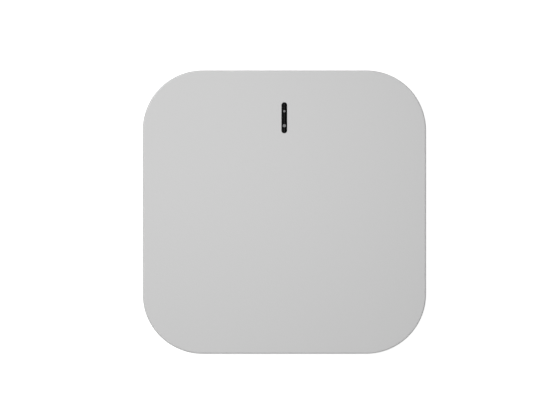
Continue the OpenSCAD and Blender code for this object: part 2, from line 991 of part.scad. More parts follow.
module reset_switch_cover() {
  ear_x = switch_w / 2 + switch_plate_t / 2;
  color("silver")
    difference() {
      union() {
        block(reset_x, switch_plate_y + switch_plate_t / 2, board_top,
              switch_w + 2 * switch_plate_t, switch_plate_t, switch_h);
        for (side = [-1, 1])
          block(reset_x + side * ear_x, switch_plate_y + switch_d / 2, board_top,
                switch_plate_t, switch_d, switch_ear_h);
      }
      on_button_axis(switch_plate_y - over)
        cylinder(r = plunger_r + button_gap, h = switch_plate_t + 2 * over);
    }
}

// Bent leads on the two long sides of a package: out of its wall, down and along the board.
module gull_leads(x, y, depth, count, pitch, reach, top) {
  for (i = [0:count - 1], side = [-1, 1]) {
    lead_x = x + (i - (count - 1) / 2) * pitch;
    shoulder = reach / 2;
    block(lead_x, y + side * (depth + shoulder) / 2, board_top + top - lead_t,
          lead_w, shoulder + lead_t, lead_t);
    block(lead_x, y + side * (depth / 2 + shoulder), board_top, lead_w, lead_t, top);
    block(lead_x, y + side * (depth / 2 + (reach + shoulder) / 2), board_top,
          lead_w, reach - shoulder + lead_t, lead_t);
  }
}

module processor() {
  color([0.12, 0.12, 0.13])
    union() {
      block(0, processor_y, board_top, processor_w, processor_w, processor_base_h);
      block(0, processor_y, board_top, processor_cap_w, processor_cap_w, processor_h);
    }
}

module thermal_pad() {
  color("lightblue")
    block(0, processor_y, board_top + processor_h, pad_side, pad_side, pad_thick);
}

module heat_sink() {
  sink_z = board_top + processor_h + pad_thick;
  fin_pitch = (sink_w - sink_fin_t) / (sink_fins - 1);
  color("gray")
    union() {
      block(0, processor_y, sink_z, sink_w, sink_w, sink_base);
      for (i = [0:sink_fins - 1])
        block((i - (sink_fins - 1) / 2) * fin_pitch, processor_y, sink_z,
              sink_fin_t, sink_w, sink_base + sink_fin_h);
    }
}

module memory_chip() {
  color([0.12, 0.12, 0.13])
    block(memory_x, memory_y, board_top, memory_w, memory_d, memory_h);
}

module flash_chip() {
  color([0.12, 0.12, 0.13])
    block(flash_x, processor_y, board_top, flash_w, flash_d, flash_h);
}

module ethernet_transformer() {
  color([0.1, 0.1, 0.1])
    union() {
      block(0, transformer_y, board_top, transformer_w, transformer_d, transformer_h);
      gull_leads(0, transformer_y, transformer_d, lead_count, lead_pitch, lead_reach, lead_top);
    }
}

module network_chip() {
  color([0.12, 0.12, 0.13])
    block(network_chip_x, transformer_y, board_top, network_chip_w, network_chip_w, network_chip_h);
}

module radio_module_board() {
  color("navy")
    block(module_x, module_y, board_top, module_w, module_l, module_t);
}

module radio_module_shield() {
  can_y = module_y - (module_l - can_l) / 2 + module_margin;
  color("silver")
    translate([module_x, can_y, board_top + module_t])
      union() {
        linear_extrude(height = can_h - can_lid_h)
          rounded_outline(can_w, can_l, can_corner);
        linear_extrude(height = can_h)
          rounded_outline(can_w - 2 * can_lid_inset, can_l - 2 * can_lid_inset, can_corner);
      }
}

// The printed antenna: a line that folds to and fro across the module's free end.
module radio_antenna() {
  run = (antenna_turns - 1) * antenna_pitch + antenna_line;
  low_y = module_y + module_l / 2 - module_margin - antenna_w;
  low_x = module_x - run / 2;
  color("gold")
    translate([low_x, low_y, board_top + module_t])
      linear_extrude(height = antenna_t)
        union() {
          for (i = [0:antenna_turns - 1])
            translate([i * antenna_pitch, 0])
              square([antenna_line, antenna_w]);
          for (i = [0:antenna_turns - 2])
            translate([i * antenna_pitch, (i % 2 == 0) ? antenna_w - antenna_line : 0])
              square([antenna_pitch + antenna_line, antenna_line]);
        }
}

module power_inductor() {
  color([0.2, 0.2, 0.2])
    translate([inductor_x, inductor_y, board_top])
      linear_extrude(height = inductor_h)
        rounded_outline(inductor_w, inductor_w, inductor_corner);
}

module power_regulator() {
  color([0.12, 0.12, 0.13])
    union() {
      block(regulator_x, inductor_y, board_top, regulator_w, regulator_d, regulator_h);
      gull_leads(regulator_x, inductor_y, regulator_d, regulator_leads, regulator_pitch,
                 regulator_reach, regulator_lead_top);
    }
}

module bulk_capacitors() {
  color("silver")
    for (place = capacitor_places)
      translate([capacitor_x, place, board_top])
        union() {
          linear_extrude(height = capacitor_base_h)
            clipped_square(capacitor_base_w, capacitor_clip);
          cylinder(r = capacitor_r, h = capacitor_h);
        }
}

// A square with the two corners on its +Y side cut off.
module clipped_square(side, clip) {
  half = side / 2;
  polygon([
    [-half, -half],
    [half, -half],
    [half, half - clip],
    [half - clip, half],
    [clip - half, half],
    [-half, half - clip]
  ]);
}

module clock_crystal() {
  crystal_y = processor_y - flash_d / 2 - part_gap - crystal_d / 2;
  lid_w = crystal_w - 2 * crystal_lid_inset;
  lid_d = crystal_d - 2 * crystal_lid_inset;
  color("silver")
    union() {
      block(flash_x, crystal_y, board_top, crystal_w, crystal_d, crystal_base_h);
      block(flash_x, crystal_y, board_top, lid_w, lid_d, crystal_h);
    }
}

// Rows of capacitors on the four sides of the processor, under the heat sink.
module small_capacitors() {
  color("tan")
    translate([0, processor_y, 0])
      for (turn = [0:3], i = [0:chip_row - 1])
        rotate([0, 0, 90 * turn])
          end_capped_chip((i - (chip_row - 1) / 2) * chip_pitch, chip_ring, chip_cap_h);
}

// A chip part whose two end caps stand a little proud of its middle.
module end_capped_chip(x, y, h) {
  cap_y = (chip_l - end_cap_l) / 2;
  union() {
    block(x, y, board_top, chip_w, chip_l, h);
    for (side = [-1, 1])
      block(x, y + side * cap_y, board_top, chip_w + 2 * end_cap_grow, end_cap_l,
            h + end_cap_grow);
  }
}

// Two rows of resistors beside the status light.
module small_resistors() {
  color([0.1, 0.1, 0.1])
    for (i = [0:resistor_row - 1], row = [0, 1])
      end_capped_chip(resistor_x + i * chip_pitch, resistor_y + row * chip_pitch, chip_res_h);
}

module input_fuse() {
  color("whitesmoke")
    block(power_x, fuse_y, board_top, fuse_w, fuse_d, fuse_h);
}

module surge_diode() {
  color([0.1, 0.1, 0.1])
    block(power_x, diode_y, board_top, diode_w, diode_d, diode_h);
}

top_cover();
bottom_cover();
status_window();
light_guide();
light_shroud();
housing_screws();
foot(-1, 1);  // foot_front_left
foot(1, 1);  // foot_front_right
foot(-1, -1);  // foot_rear_left
foot(1, -1);  // foot_rear_right
underside_label();
main_board();
board_screws();
ethernet_jack_housing();
ethernet_jack_shield();
ethernet_jack_contacts();
ethernet_jack_lamps();
power_socket_shell();
power_socket_tongue();
power_socket_contacts();
reset_button();
reset_switch_body();
reset_switch_plunger();
reset_switch_cover();
status_led(slot_y - power_led_off);  // power_led
status_led(slot_y + network_led_off);  // network_led
processor();
thermal_pad();
heat_sink();
memory_chip();
flash_chip();
ethernet_transformer();
network_chip();
radio_module_board();
radio_module_shield();
radio_antenna();
power_inductor();
power_regulator();
bulk_capacitors();
clock_crystal();
small_capacitors();
small_resistors();
input_fuse();
surge_diode();
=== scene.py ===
import math

import bmesh
import bpy
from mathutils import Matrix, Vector


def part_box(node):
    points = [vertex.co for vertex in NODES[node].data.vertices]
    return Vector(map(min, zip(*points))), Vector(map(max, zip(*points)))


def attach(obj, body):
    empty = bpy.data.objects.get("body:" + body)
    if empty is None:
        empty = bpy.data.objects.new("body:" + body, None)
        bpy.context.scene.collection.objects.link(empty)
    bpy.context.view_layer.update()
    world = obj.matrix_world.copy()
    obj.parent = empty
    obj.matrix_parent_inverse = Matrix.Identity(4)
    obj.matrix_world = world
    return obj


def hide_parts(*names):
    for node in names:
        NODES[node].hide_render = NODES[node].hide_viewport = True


# The looks of a smart home hub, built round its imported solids. Lengths are in metres, and
# places come from the solids' own boxes. The ports face -Y, the status window is nearest the
# +Y edge, and +Z is up.

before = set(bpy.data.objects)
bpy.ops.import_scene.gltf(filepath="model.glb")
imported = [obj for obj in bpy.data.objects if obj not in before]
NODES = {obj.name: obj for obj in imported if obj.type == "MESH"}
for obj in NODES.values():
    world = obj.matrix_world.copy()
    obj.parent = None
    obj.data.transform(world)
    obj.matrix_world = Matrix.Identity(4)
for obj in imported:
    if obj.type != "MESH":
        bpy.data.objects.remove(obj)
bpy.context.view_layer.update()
MM = 0.001


# ---------------------------------------------------------------- node trees

class Graph:
    """A node tree, with short calls for the nodes that are used often."""

    def __init__(self, tree):
        self.tree = tree

    def new(self, kind, **settings):
        """A new node with these settings of its own."""
        node = self.tree.nodes.new(kind)
        for name, value in settings.items():
            setattr(node, name, value)
        return node

    def put(self, value, socket):
        """Links a socket to this one, or sets a number or colour on it."""
        if isinstance(value, bpy.types.NodeSocket):
            self.tree.links.new(value, socket)
        else:
            socket.default_value = value

    def combine(self, operation, first, second, clamp=False):
        """One calculation with two values."""
        node = self.new("ShaderNodeMath", operation=operation, use_clamp=clamp)
        self.put(first, node.inputs[0])
        self.put(second, node.inputs[1])
        return node.outputs["Value"]

    def spread(self, source, low, high, start=0.0, end=1.0):
        """Maps start..end of a value to low..high, and goes no further."""
        node = self.new("ShaderNodeMapRange")
        limits = {"From Min": start, "From Max": end, "To Min": low, "To Max": high}
        for name, value in limits.items():
            self.put(value, node.inputs[name])
        self.put(source, node.inputs["Value"])
        return node.outputs["Result"]

    def rise(self, source, start, end):
        """0 where a value is below start, and 1 where it is above end."""
        return self.spread(source, 0.0, 1.0, start, end)

    def fall(self, source, start, end):
        """1 where a value is below start, and 0 where it is above end."""
        return self.spread(source, 1.0, 0.0, start, end)


class Finish(Graph):
    """One material, with the patterns that finishes are made of."""

    BEVEL_SAMPLES = 4
    # The edge mask, used for painted highlights and edge polish, rises between these cosines
    EDGE_MASK_COSINE = 0.72
    WHOLE_COSINE = 0.995

    def __init__(self, name, color, roughness, metallic=0.0):
        self.material = bpy.data.materials.new(name)
        self.material.use_nodes = True
        super().__init__(self.material.node_tree)
        self.tree.nodes.clear()
        out = self.new("ShaderNodeOutputMaterial")
        self.shader = self.new("ShaderNodeBsdfPrincipled")
        self.put(self.shader.outputs["BSDF"], out.inputs["Surface"])
        self.color = color
        self.feed("Base Color", self.tinted(1.0))
        self.feed("Roughness", roughness)
        self.feed("Metallic", metallic)
        self.place = self.new("ShaderNodeTexCoord").outputs["Object"]
        self.soft_normal = None

    def feed(self, socket, value):
        """Gives the shader a pattern, or a value that is the same all over the surface."""
        self.put(value, self.shader.inputs[socket])

    def tinted(self, factor):
        """The base colour, lighter or darker."""
        return tuple(min(1.0, c * factor) for c in self.color) + (1.0,)

    def height(self, axis="Z"):
        """The distance along one axis of the part."""
        node = self.new("ShaderNodeSeparateXYZ")
        self.put(self.place, node.inputs["Vector"])
        return node.outputs[axis]

    def stretched(self, stretch):
        """Object coordinates, scaled along each axis."""
        mapping = self.new("ShaderNodeMapping")
        self.put(stretch, mapping.inputs["Scale"])
        self.put(self.place, mapping.inputs["Vector"])
        return mapping.outputs["Vector"]

    def noise(self, size, detail=3.0, stretch=(1, 1, 1)):
        """Soft noise whose features measure about size."""
        node = self.new("ShaderNodeTexNoise")
        self.put(1.0 / size, node.inputs["Scale"])
        self.put(detail, node.inputs["Detail"])
        self.put(self.stretched(stretch), node.inputs["Vector"])
        return node.outputs["Fac"]

    def cells(self, size, metric="EUCLIDEAN"):
        """Distances to the middles of cells that measure about size."""
        node = self.new("ShaderNodeTexVoronoi", feature="F1", distance=metric)
        self.put(1.0 / size, node.inputs["Scale"])
        self.put(self.stretched((1, 1, 1)), node.inputs["Vector"])
        return node.outputs["Distance"]

    def blend(self, share, first, second):
        """A colour between two, each a colour or a socket."""
        node = self.new("ShaderNodeMix", data_type="RGBA")
        self.put(share, node.inputs["Factor"])
        self.put(first, node.inputs[6])
        self.put(second, node.inputs[7])
        return node.outputs[2]

    def mottled(self, source, dark, light, start=0.35, end=0.65):
        """The base colour between two tints, as a noise runs from start to end."""
        return self.blend(self.rise(source, start, end), self.tinted(dark), self.tinted(light))

    def soften(self, radius):
        """Shades the piece's edges as if they were rounded."""
        node = self.new("ShaderNodeBevel", samples=self.BEVEL_SAMPLES)
        self.put(radius, node.inputs["Radius"])
        self.soft_normal = node.outputs["Normal"]

    def edge_highlight_and_wear(self, radius):
        """Softens the edges, and gives a mask that rises along them: it paints a highlight into
        the colour, and in moulded plastic also sets the polish of wear.
        """
        self.soften(radius)
        geometry = self.new("ShaderNodeNewGeometry")
        dot = self.new("ShaderNodeVectorMath", operation="DOT_PRODUCT")
        self.put(self.soft_normal, dot.inputs[0])
        self.put(geometry.outputs["Normal"], dot.inputs[1])
        return self.fall(dot.outputs["Value"], self.EDGE_MASK_COSINE, self.WHOLE_COSINE)

    def lit_edges(self, edge, tone, share, tint):
        """Painted highlight: a tone that turns by a share to a tint of the base colour along the
        edges.
        """
        return self.blend(self.combine("MULTIPLY", edge, share), tone, self.tinted(tint))

    def bump(self, distance, *layers):
        """Raises the surface by layers of (value, strength)."""
        normal = self.soft_normal
        for source, strength in layers:
            node = self.new("ShaderNodeBump")
            self.put(strength, node.inputs["Strength"])
            self.put(distance, node.inputs["Distance"])
            self.put(source, node.inputs["Height"])
            if normal is not None:
                self.put(normal, node.inputs["Normal"])
            normal = node.outputs["Normal"]
        self.feed("Normal", normal)


# ---------------------------------------------------------------- finishes

# Depths of relief, and the width over which a small piece's edges look round
SKIN_DEPTH = 0.03 * MM
GRAIN_DEPTH = 0.02 * MM
LINE_DEPTH = 0.01 * MM
THIN_EDGE = 0.08 * MM

# Moulded plastic: a pit's size and relief are in parts of the grain's
FLOW_SIZE = 14 * MM
FLOW_ROUGH = 0.05
PIT_SIZE = 1.6
PIT_ROUGH = 0.04
PIT_BUMP = 0.6
POLISH = 0.12

# Plated sheet: what lines and blotches add to its roughness
BLOTCH_SIZE = 4.5 * MM
LINE_SIZE = 0.12 * MM
LINE_ROUGH = (-0.08, 0.1)
BLOTCH_ROUGH = (-0.06, 0.08)

# Circuit boards: pitch and edges are in parts of a cell
TRACK_FIELD = 2.4 * MM
TRACK_PITCH = 0.11
TRACK_EDGE = (0.05, 0.065)
VIA_FIELD = 3.1 * MM
VIA_EDGE = (0.09, 0.12)
VIA_COLOR = (0.45, 0.42, 0.3, 1.0)

# Polished plastic
HAZE_SIZE = 1.2 * MM
SCRATCH_SIZE = 0.1 * MM
SCRATCH_STRETCH = (1.0, 0.05, 1.0)
SCRATCH_ROUGH = 0.08

# Places where a colour starts and ends its turn into the next: below the light guide's top,
# over an LED's foot, and each way from the jack's middle
GUIDE_TIP = (0.2 * MM, 0.1 * MM)
GUIDE_BODY_COLORS = ((0.45, 0.45, 0.46, 1), (0.6, 0.6, 0.61, 1))
GUIDE_TIP_COLORS = ((0.14, 0.14, 0.145, 1), (0.22, 0.22, 0.225, 1))

LED_BASE = (0.3 * MM, 0.36 * MM)
LED_BASE_COLOR = (0.75, 0.75, 0.72, 1)
LED_LENS_COLORS = ((0.75, 0.6, 0.12, 1), (0.9, 0.78, 0.25, 1))

LAMP_SPLIT = 0.1 * MM
GREEN_LAMP_COLORS = ((0.3, 0.46, 0.14, 1), (0.42, 0.58, 0.22, 1))
AMBER_LAMP_COLORS = ((0.56, 0.42, 0.12, 1), (0.7, 0.54, 0.2, 1))

# Capacitors: the base's height, and the black sector below the top and to -X of the middle
CAPACITOR_BASE = 0.8 * MM
CAPACITOR_BASE_EDGE = 0.02 * MM
CAPACITOR_BASE_COLOR = (0.02, 0.02, 0.021, 1)
SECTOR_COLOR = (0.02, 0.02, 0.022, 1)
SECTOR_TOP = (0.35 * MM, 0.3 * MM)
SECTOR_SIDE = (0.95 * MM, 0.9 * MM)


def moulded(name, color, roughness, grain, bump, mottle, edge_radius=THIN_EDGE, speck=0.06):
    """Injection moulded plastic: spark-eroded grain, faint flow marks, and polished edges that
    also carry a painted highlight.
    """
    f = Finish(name, color, roughness)
    flow = f.noise(FLOW_SIZE, detail=2.0, stretch=(1.0, 0.45, 1.0))
    fine = f.noise(grain, detail=4.0)
    pits = f.cells(grain * PIT_SIZE)
    # The edge mask paints a highlight into the colour and gives the edges real polish in the
    # roughness
    edge = f.edge_highlight_and_wear(edge_radius)
    tone = f.mottled(flow, 1 - mottle, 1 + mottle, start=0.3, end=0.7)
    specks = f.spread(fine, low=0.0, high=0.35, start=0.35, end=0.75)
    speckled = f.blend(specks, tone, f.tinted(1 - speck))
    # Painted highlight: the colour turns a little lighter along the edges
    f.feed("Base Color", f.lit_edges(edge, speckled, share=0.25, tint=1.1))
    flow_rough = f.spread(flow, roughness - FLOW_ROUGH, roughness + FLOW_ROUGH)
    rough = f.combine("ADD", flow_rough, f.spread(pits, -PIT_ROUGH, PIT_ROUGH))
    f.feed("Roughness", f.combine("SUBTRACT", rough, f.combine("MULTIPLY", edge, POLISH)))
    f.bump(GRAIN_DEPTH, (fine, bump), (pits, bump * PIT_BUMP))
    return f


def plated(name, color, roughness, stretch, smudge=0.08):
    """Plated or brushed sheet: fine lines along one axis, blotches and a painted highlight along
    the edges.
    """
    f = Finish(name, color, roughness, metallic=1.0)
    lines = f.noise(LINE_SIZE, stretch=stretch)
    blotch = f.noise(BLOTCH_SIZE)
    edge = f.edge_highlight_and_wear(THIN_EDGE)
    tone = f.mottled(blotch, 1 - smudge, 1 + smudge)
    # Painted highlight: the colour turns lighter along the edges
    f.feed("Base Color", f.lit_edges(edge, tone, share=0.4, tint=1.2))
    line_rough = f.spread(lines, *(roughness + change for change in LINE_ROUGH))
    f.feed("Roughness", f.combine("ADD", line_rough, f.spread(blotch, *BLOTCH_ROUGH)))
    f.bump(LINE_DEPTH, (lines, 0.25))
    return f


def package(name, color):
    """Chip mould compound: glass filler sparkle on a slightly uneven matt face, with a painted
    highlight along its edges.
    """
    f = Finish(name, color, roughness=0.55)
    filler = f.noise(0.08 * MM, detail=2.0)
    sweep = f.noise(3 * MM, detail=2.0)
    edge = f.edge_highlight_and_wear(THIN_EDGE)
    tone = f.mottled(filler, dark=0.9, light=1.9, start=0.55, end=0.8)
    # Painted highlight: the colour turns much lighter along the edges
    f.feed("Base Color", f.lit_edges(edge, tone, share=0.5, tint=1.8))
    f.feed("Roughness", f.spread(sweep, low=0.45, high=0.65, start=0.3, end=0.7))
    f.bump(LINE_DEPTH, (filler, 0.2))
    return f


def board_mask(name, color, copper):
    """Solder mask over copper: runs of track, filled areas and small vias."""
    f = Finish(name, color, roughness=0.28)
    runs = f.combine("PINGPONG", f.cells(TRACK_FIELD, metric="MANHATTAN"), TRACK_PITCH)
    track = f.rise(runs, *TRACK_EDGE)
    vias = f.fall(f.cells(VIA_FIELD), *VIA_EDGE)
    weave = f.noise(0.5 * MM, detail=2.0, stretch=(1.0, 0.3, 1.0))
    ground = f.blend(track, f.tinted(0.75), (*copper, 1.0))
    woven = f.spread(weave, low=0.0, high=0.3, start=0.3, end=0.7)
    tone = f.blend(woven, ground, f.tinted(1.4))
    f.feed("Base Color", f.blend(vias, tone, VIA_COLOR))
    f.feed("Roughness", f.spread(weave, low=0.22, high=0.38))
    f.feed("Coat Weight", 0.3)
    f.bump(GRAIN_DEPTH, (track, 0.4), (weave, 0.15))
    return f


def rubber(name, color, grain):
    """Soft matt rubber with a fine skin and a little dust."""
    f = Finish(name, color, roughness=0.8)
    skin = f.noise(grain, detail=4.0)
    dust = f.noise(1.5 * MM, detail=4.0)
    dusty = f.spread(dust, low=0.0, high=0.6, start=0.5, end=0.75)
    f.feed("Base Color", f.blend(dusty, f.tinted(1.0), f.tinted(1.9)))
    f.feed("Roughness", f.spread(skin, low=0.7, high=0.92))
    f.bump(SKIN_DEPTH, (skin, 0.5), (dust, 0.2))
    return f


def polished(name, color, roughness, dark=0.95, light=1.05, crown_radius=None):
    """Clear or glossy moulding with a trace of haze and fine scratches along Y."""
    f = Finish(name, color, roughness)
    haze = f.noise(HAZE_SIZE)
    lines = f.noise(SCRATCH_SIZE, detail=2.0, stretch=SCRATCH_STRETCH)
    if crown_radius is not None:
        f.soften(crown_radius)
    f.feed("Base Color", f.mottled(haze, dark, light))
    scratched = f.spread(lines, roughness, roughness + SCRATCH_ROUGH, start=0.55, end=0.8)
    f.feed("Roughness", scratched)
    f.bump(LINE_DEPTH, (haze, 0.05))
    return f


def gloss_window():
    """Polished black plastic, shaded as one smooth crown."""
    f = polished("window_gloss", (0.001, 0.001, 0.0012), roughness=0.18, dark=0.85, light=1.2,
                 crown_radius=0.3 * MM)
    f.feed("Specular IOR Level", 0.021)
    return f


def frosted_guide():
    """Clear acrylic that reads as milky grey at its cut ends."""
    f = polished("frosted_guide", (0.3, 0.3, 0.31), roughness=0.45)
    f.feed("Specular IOR Level", 0.2)
    _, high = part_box("light_guide")
    tip = f.rise(f.height(), *(high.z - below for below in GUIDE_TIP))
    frost = f.noise(0.15 * MM)
    ends = f.blend(f.rise(frost, start=0.3, end=0.7), *GUIDE_TIP_COLORS)
    f.feed("Base Color", f.blend(tip, f.blend(frost, *GUIDE_BODY_COLORS), ends))
    return f


def led_package():
    """A white base under a yellowish encapsulant."""
    f = polished("led_package", (0.8, 0.78, 0.7), roughness=0.3)
    low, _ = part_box("power_led")
    lens = f.rise(f.height(), *(low.z + above for above in LED_BASE))
    glow = f.blend(f.noise(0.1 * MM, detail=2.0), *LED_LENS_COLORS)
    f.feed("Base Color", f.blend(lens, LED_BASE_COLOR, glow))
    return f


def jack_lamp():
    """Unlit lamp windows: green on one side of the jack and amber on the other."""
    f = polished("jack_lamp", (0.45, 0.6, 0.22), roughness=0.22)
    side = f.rise(f.height("X"), -LAMP_SPLIT, LAMP_SPLIT)
    cloud = f.noise(0.4 * MM)
    green = f.blend(cloud, *GREEN_LAMP_COLORS)
    amber = f.blend(cloud, *AMBER_LAMP_COLORS)
    f.feed("Base Color", f.blend(side, green, amber))
    return f


def capacitor_finish():
    """A drawn aluminium can with a black sector on its end, standing on a black base."""
    f = plated("capacitor_can", (0.62, 0.62, 0.63), roughness=0.3, stretch=(1.0, 1.0, 0.1))
    metal = f.shader.inputs["Base Color"].links[0].from_socket
    low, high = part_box("bulk_capacitors")
    middle = (low.x + high.x) / 2
    end = f.rise(f.height(), *(high.z - below for below in SECTOR_TOP))
    side = f.fall(f.height("X"), *(middle - aside for aside in SECTOR_SIDE))
    sector = f.combine("MULTIPLY", end, side)
    base_top = low.z + CAPACITOR_BASE
    base = f.fall(f.height(), base_top, base_top + CAPACITOR_BASE_EDGE)
    printed = f.blend(sector, metal, SECTOR_COLOR)
    f.feed("Base Color", f.blend(base, printed, CAPACITOR_BASE_COLOR))
    f.feed("Metallic", f.combine("SUBTRACT", f.spread(base, low=1.0, high=0.0), sector))
    return f


def chip_part(name, color):
    """A small fired part of one colour, with a grain."""
    f = Finish(name, color, roughness=0.45)
    grain = f.noise(0.2 * MM)
    f.feed("Base Color", f.mottled(grain, dark=0.85, light=1.2, end=0.7))
    f.feed("Roughness", f.spread(grain, low=0.35, high=0.55))
    f.bump(LINE_DEPTH, (grain, 0.3))
    return f


def film(name, color):
    """Bare satin film or ink with a paper-like tooth."""
    f = Finish(name, color, roughness=0.4)
    tooth = f.noise(0.18 * MM, detail=4.0)
    cloud = f.noise(9 * MM, detail=2.0)
    f.feed("Base Color", f.mottled(cloud, dark=0.96, light=1.03, start=0.3, end=0.7))
    f.feed("Roughness", f.spread(tooth, low=0.34, high=0.5))
    f.bump(LINE_DEPTH, (tooth, 0.25))
    return f


ALONG_Y = (1.0, 0.06, 1.0)

cover = moulded("cover_plastic", (0.566, 0.566, 0.566), roughness=0.5, grain=0.24 * MM, bump=0.75,
                mottle=0.008, edge_radius=0.15 * MM, speck=0.035)
black_plastic = moulded("black_plastic", (0.025, 0.025, 0.026), roughness=0.5, grain=0.12 * MM,
                        bump=0.2, mottle=0.06)
shroud_black = moulded("shroud_black", (0.006, 0.006, 0.006), roughness=0.85, grain=0.12 * MM,
                       bump=0.2, mottle=0.06)
shroud_black.feed("Specular IOR Level", 0.1)
button_plastic = moulded("button_plastic", (0.09, 0.09, 0.095), roughness=0.42, grain=0.12 * MM,
                         bump=0.15, mottle=0.04, edge_radius=0.12 * MM)
foot_rubber = rubber("foot_rubber", (0.035, 0.035, 0.036), grain=0.25 * MM)
tin = plated("tin_plate", (0.52, 0.515, 0.5), roughness=0.36, stretch=ALONG_Y, smudge=0.05)
nickel = plated("nickel_plate", (0.62, 0.61, 0.6), roughness=0.25, stretch=ALONG_Y)
zinc = plated("zinc_screw", (0.58, 0.58, 0.6), roughness=0.32, stretch=(1.0, 1.0, 0.2))
gold = plated("gold_plate", (0.86, 0.62, 0.24), roughness=0.22, stretch=ALONG_Y, smudge=0.05)
capacitor_can = capacitor_finish()
anodised = plated("anodised_sink", (0.045, 0.045, 0.05), roughness=0.42, stretch=ALONG_Y,
                  smudge=0.15)
green_board = board_mask("green_board", (0.012, 0.11, 0.045), copper=(0.03, 0.2, 0.07))
blue_board = board_mask("blue_board", (0.008, 0.03, 0.13), copper=(0.02, 0.08, 0.24))
mould_compound = package("mould_compound", (0.022, 0.022, 0.024))
ferrite = package("ferrite_core", (0.07, 0.07, 0.075))
ceramic_tan = chip_part("ceramic_tan", (0.42, 0.27, 0.14))
ceramic_white = chip_part("ceramic_white", (0.7, 0.69, 0.66))
resistor_black = chip_part("resistor_black", (0.03, 0.03, 0.034))
gap_pad = rubber("gap_pad", (0.24, 0.42, 0.55), grain=0.15 * MM)
window = gloss_window()
guide = frosted_guide()
led = led_package()
lamp = jack_lamp()
label = film("label_film", (0.72, 0.72, 0.70))
silkscreen = film("silkscreen", (0.75, 0.75, 0.73))

FEET = ("foot_front_left", "foot_front_right", "foot_rear_left", "foot_rear_right")
WORN_BY = {
    cover: ("top_cover", "bottom_cover"),
    window: ("status_window",),
    guide: ("light_guide",),
    shroud_black: ("light_shroud",),
    zinc: ("housing_screws", "board_screws"),
    foot_rubber: FEET,
    label: ("underside_label",),
    green_board: ("main_board",),
    blue_board: ("radio_module_board",),
    black_plastic: ("ethernet_jack_housing", "power_socket_tongue", "reset_switch_body",
                    "reset_switch_plunger"),
    tin: ("ethernet_jack_shield", "reset_switch_cover", "radio_module_shield"),
    gold: ("ethernet_jack_contacts", "power_socket_contacts", "radio_antenna"),
    lamp: ("ethernet_jack_lamps",),
    nickel: ("power_socket_shell", "clock_crystal"),
    button_plastic: ("reset_button",),
    led: ("power_led", "network_led"),
    mould_compound: ("processor", "memory_chip", "flash_chip", "ethernet_transformer",
                     "network_chip", "power_regulator", "surge_diode"),
    gap_pad: ("thermal_pad",),
    anodised: ("heat_sink",),
    ferrite: ("power_inductor",),
    capacitor_can: ("bulk_capacitors",),
    ceramic_tan: ("small_capacitors",),
    resistor_black: ("small_resistors",),
    ceramic_white: ("input_fuse",),
}

for finish, nodes in WORN_BY.items():
    for node in nodes:
        NODES[node].data.materials.clear()
        NODES[node].data.materials.append(finish.material)


# ---------------------------------------------------------------- pieces

SHARP_ANGLE = math.radians(35)
TURN_STEPS = 96
ARC_STEPS = 8
BREAK = 0.1 * MM

# The reset button's cap, dish, keeper flange and stem
CAP_R = 2.3 * MM
CAP_ROUND = 0.3 * MM
DISH_R = 1.8 * MM
DISH_DEPTH = 0.22 * MM
DISH_STEPS = 8
FLANGE_T = 0.8 * MM
STEM_L = 1.8 * MM
STEM_R = 1.4 * MM

# The feet: the groove's outer edge is inside the foot's, and its slopes are parts of its width
FOOT_ROUND = 0.4 * MM
FOOT_HOLLOW = 0.12 * MM
FOOT_HOLLOW_R = 2.1 * MM
FOOT_GROOVE_IN = 1.2 * MM
FOOT_GROOVE_W = 0.5 * MM
FOOT_GROOVE_SLOPE = 0.3

# The board's printed outlines, and the nodes that they go round
MARK_MARGIN = 0.35 * MM
MARK_W = 0.15 * MM
MARK_T = 0.02 * MM
MARKED = ("processor", "memory_chip", "flash_chip", "ethernet_transformer", "network_chip",
          "radio_module_board", "power_inductor", "power_regulator", "clock_crystal",
          "input_fuse", "surge_diode", "light_shroud")


def add_piece(name, bm, finish, body):
    """Makes an object of a bmesh, shaded smooth between its sharp edges."""
    bmesh.ops.recalc_face_normals(bm, faces=bm.faces)
    for face in bm.faces:
        face.smooth = True
    for edge in bm.edges:
        if edge.is_manifold and edge.calc_face_angle() > SHARP_ANGLE:
            edge.smooth = False
    mesh = bpy.data.meshes.new(name)
    bm.to_mesh(mesh)
    bm.free()
    mesh.materials.append(finish.material)
    piece = bpy.data.objects.new(name, mesh)
    bpy.context.scene.collection.objects.link(piece)
    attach(piece, body)
    return piece


def rim(outer, radius):
    """Points of a profile's rounded edge, from its face round to its outer radius."""
    points = []
    for step in range(ARC_STEPS + 1):
        angle = math.radians(-90 + 90 * step / ARC_STEPS)
        points.append((outer - radius + radius * math.cos(angle),
                       radius + radius * math.sin(angle)))
    return points


def turn(bm, profile, place):
    """Turns (radius, distance along the axis) pairs that start and end on the axis."""
    angles = [2 * math.pi * step / TURN_STEPS for step in range(TURN_STEPS)]
    rings = []
    for radius, distance in profile:
        spokes = angles if radius else angles[:1]
        rings.append([bm.verts.new(place(radius * math.cos(a), radius * math.sin(a), distance))
                      for a in spokes])
    for first, second in zip(rings, rings[1:]):
        for i in range(TURN_STEPS):
            j = (i + 1) % TURN_STEPS
            corners = [first[i % len(first)], first[j % len(first)],
                       second[j % len(second)], second[i % len(second)]]
            bm.faces.new(dict.fromkeys(corners))


